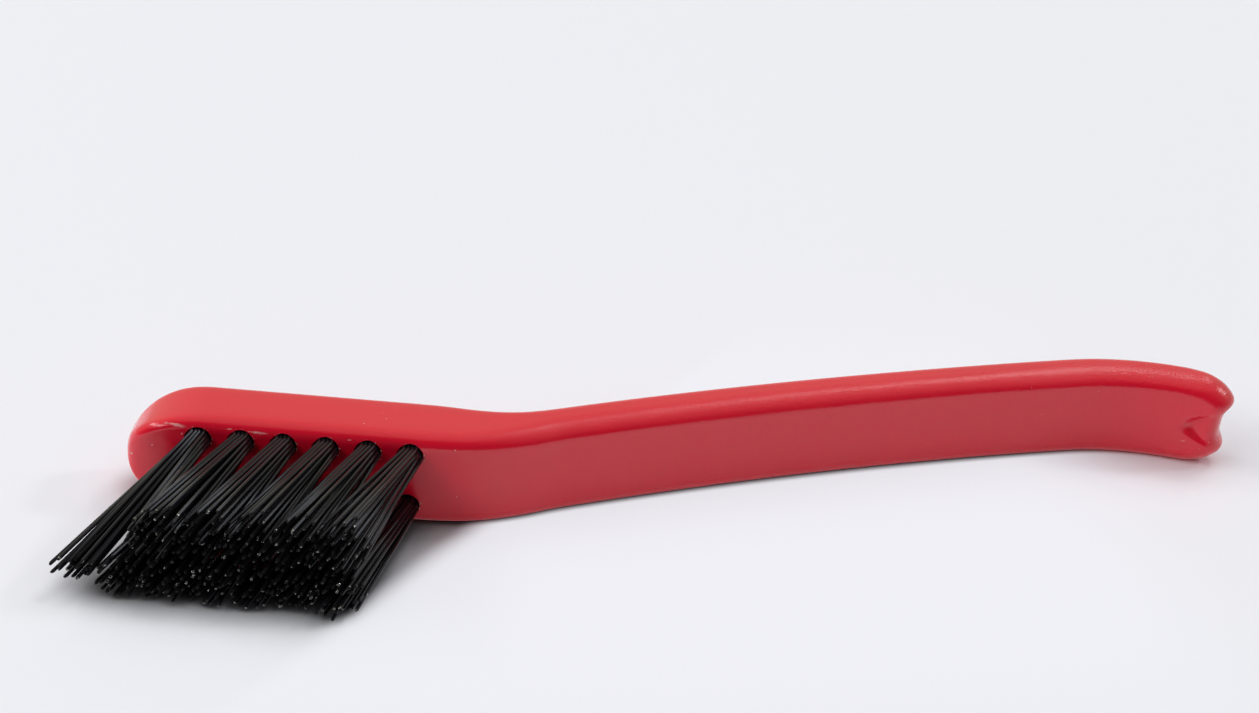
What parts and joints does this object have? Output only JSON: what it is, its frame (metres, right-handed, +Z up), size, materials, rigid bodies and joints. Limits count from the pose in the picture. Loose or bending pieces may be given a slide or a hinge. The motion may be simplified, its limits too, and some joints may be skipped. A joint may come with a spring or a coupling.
{
  "type": "hand cleaning brush",
  "caption": "Slim S-curved hand brush of red moulded plastic with rows of black filament tufts in its head and a clawed tail, for dusting and cleaning small gaps.",
  "frame": {"origin": "middle of the brush's bounding box, on the table that it lies on", "axes": "+X along the line from the head's tip to the end of the tail, -Y the way the tufts point, +Z up with the brush lying on its side"},
  "size_m": [0.186, 0.0464, 0.0147],
  "materials": {
    "handle_plastic": "satin injection-moulded red plastic with a fine spark texture, lightly scuffed round the tufts",
    "bristle_filament": "smooth black nylon filament with a soft gloss, cut square at the tips",
    "anchor_metal": "bright drawn flat wire"
  },
  "bodies": {
    "root": {"anchor_lower_1": "anchor_metal", "anchor_lower_2": "anchor_metal", "anchor_lower_3": "anchor_metal", "anchor_lower_4": "anchor_metal", "anchor_lower_5": "anchor_metal", "anchor_lower_6": "anchor_metal", "anchor_upper_1": "anchor_metal", "anchor_upper_2": "anchor_metal", "anchor_upper_3": "anchor_metal", "anchor_upper_4": "anchor_metal", "anchor_upper_5": "anchor_metal", "anchor_upper_6": "anchor_metal", "handle": "handle_plastic", "tuft_lower_1": "bristle_filament", "tuft_lower_2": "bristle_filament", "tuft_lower_3": "bristle_filament", "tuft_lower_4": "bristle_filament", "tuft_lower_5": "bristle_filament", "tuft_lower_6": "bristle_filament", "tuft_upper_1": "bristle_filament", "tuft_upper_2": "bristle_filament", "tuft_upper_3": "bristle_filament", "tuft_upper_4": "bristle_filament", "tuft_upper_5": "bristle_filament", "tuft_upper_6": "bristle_filament"}
  },
  "joints": []
}
